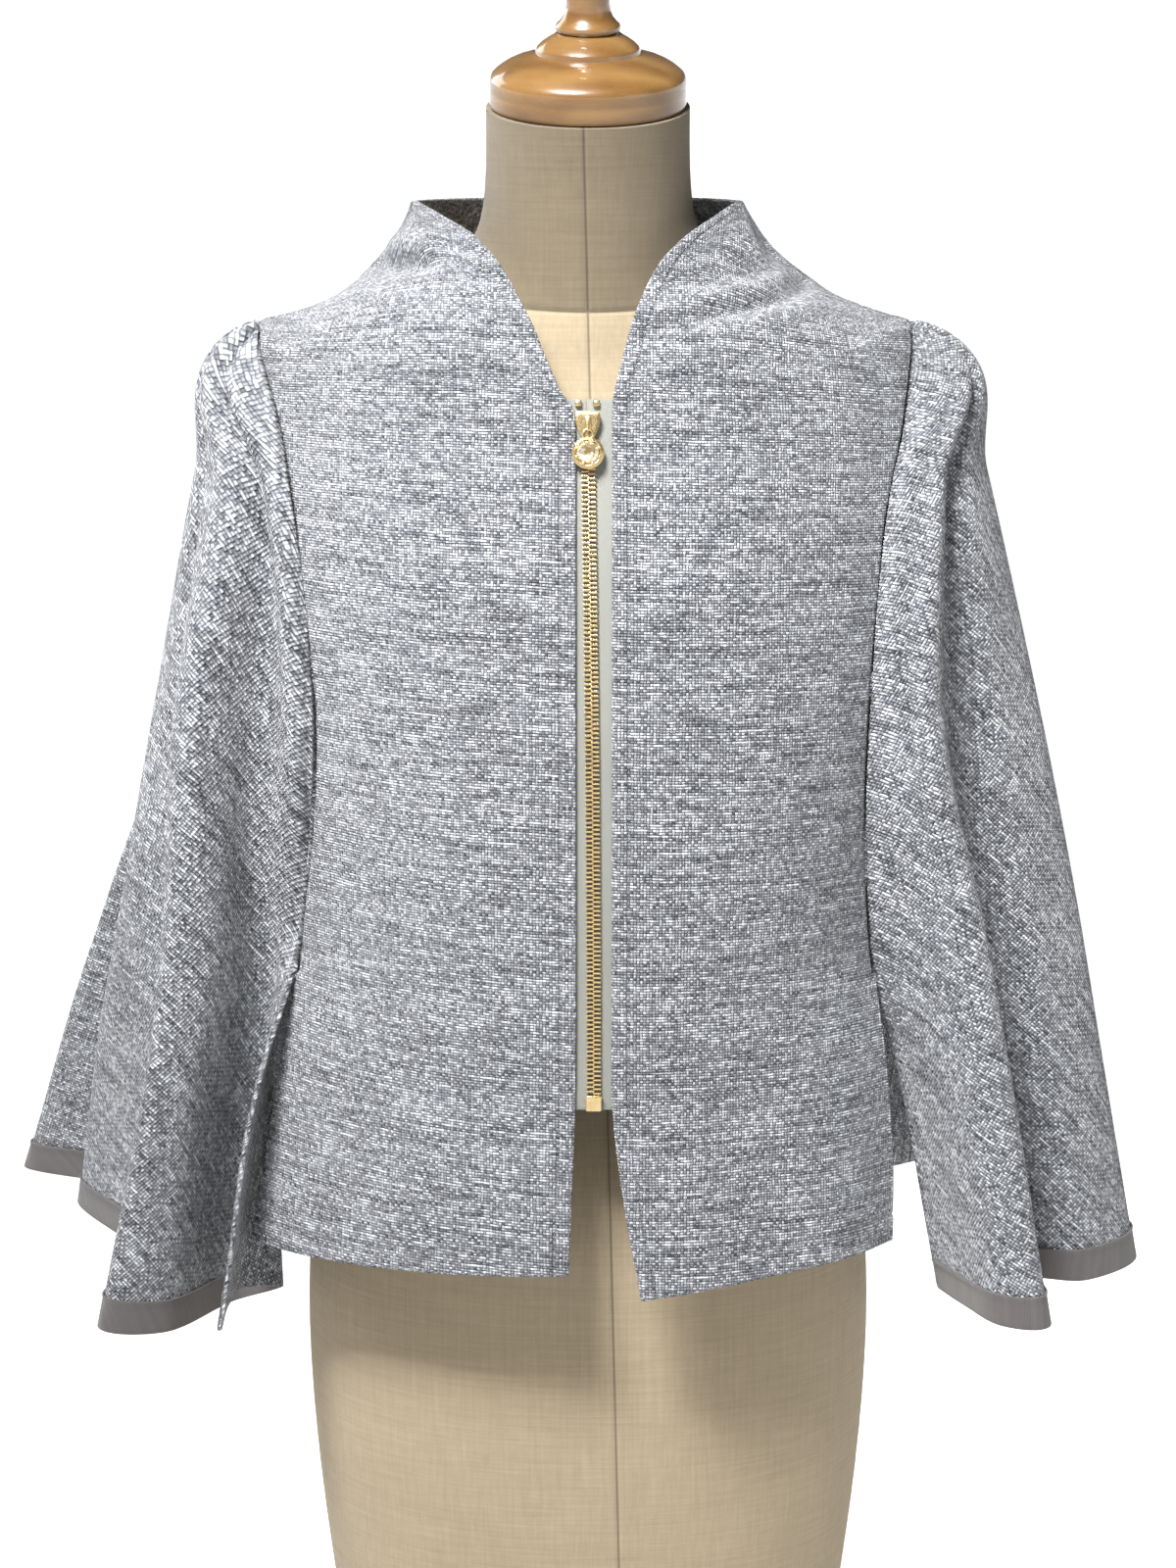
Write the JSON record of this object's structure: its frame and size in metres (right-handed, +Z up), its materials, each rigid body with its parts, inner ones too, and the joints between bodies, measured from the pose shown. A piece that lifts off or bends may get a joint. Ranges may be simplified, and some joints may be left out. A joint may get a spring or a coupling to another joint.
{
  "type": "cape-sleeve bolero on a dress form",
  "caption": "Short zip-front tweed bolero with a pointed stand collar and flared cape sleeves, worn by a limbless dress form on a low round stand.",
  "frame": {"origin": "centre of the underside of the stand's round plate, on the floor", "axes": "+Z up, the wearer faces -Y, +X is the wearer's left"},
  "size_m": [0.6616, 0.3544, 1.1734],
  "materials": {
    "tweed": "grey melange boucle tweed with light and dark slubs",
    "ribbon": "taupe-grey grosgrain ribbon",
    "zip_tape": "light grey herringbone zip tape",
    "gold": "polished light gold",
    "linen": "undyed plain-woven linen",
    "varnished_wood": "turned honey-coloured wood under gloss varnish",
    "steel": "brushed",
    "black_paint": "satin black powder coat"
  },
  "bodies": {
    "garment_on_form": {"front_right": "tweed", "front_left": "tweed", "back": "tweed", "cape_right": "tweed", "cape_left": "tweed", "binding_right": "ribbon", "binding_left": "ribbon", "zip_tape_right": "zip_tape", "zip_tape_left": "zip_tape", "zip_chain": "gold", "zip_box": "gold", "zip_stop_right": "gold", "zip_stop_left": "gold", "zip_slider": "gold", "form_body": "linen", "neck_cap": "varnished_wood", "finial": "varnished_wood", "stand_pole": "steel", "stand_plate": "black_paint"},
    "charm": {"zip_pull": "gold"}
  },
  "joints": [
    {"name": "charm_swing", "type": "hinge", "parent": "garment_on_form", "child": "charm", "pos_m": [-0.00003, -0.1093, 0.91655], "axis": [-1, 0, 0], "range_deg": [0, 130]}
  ]
}
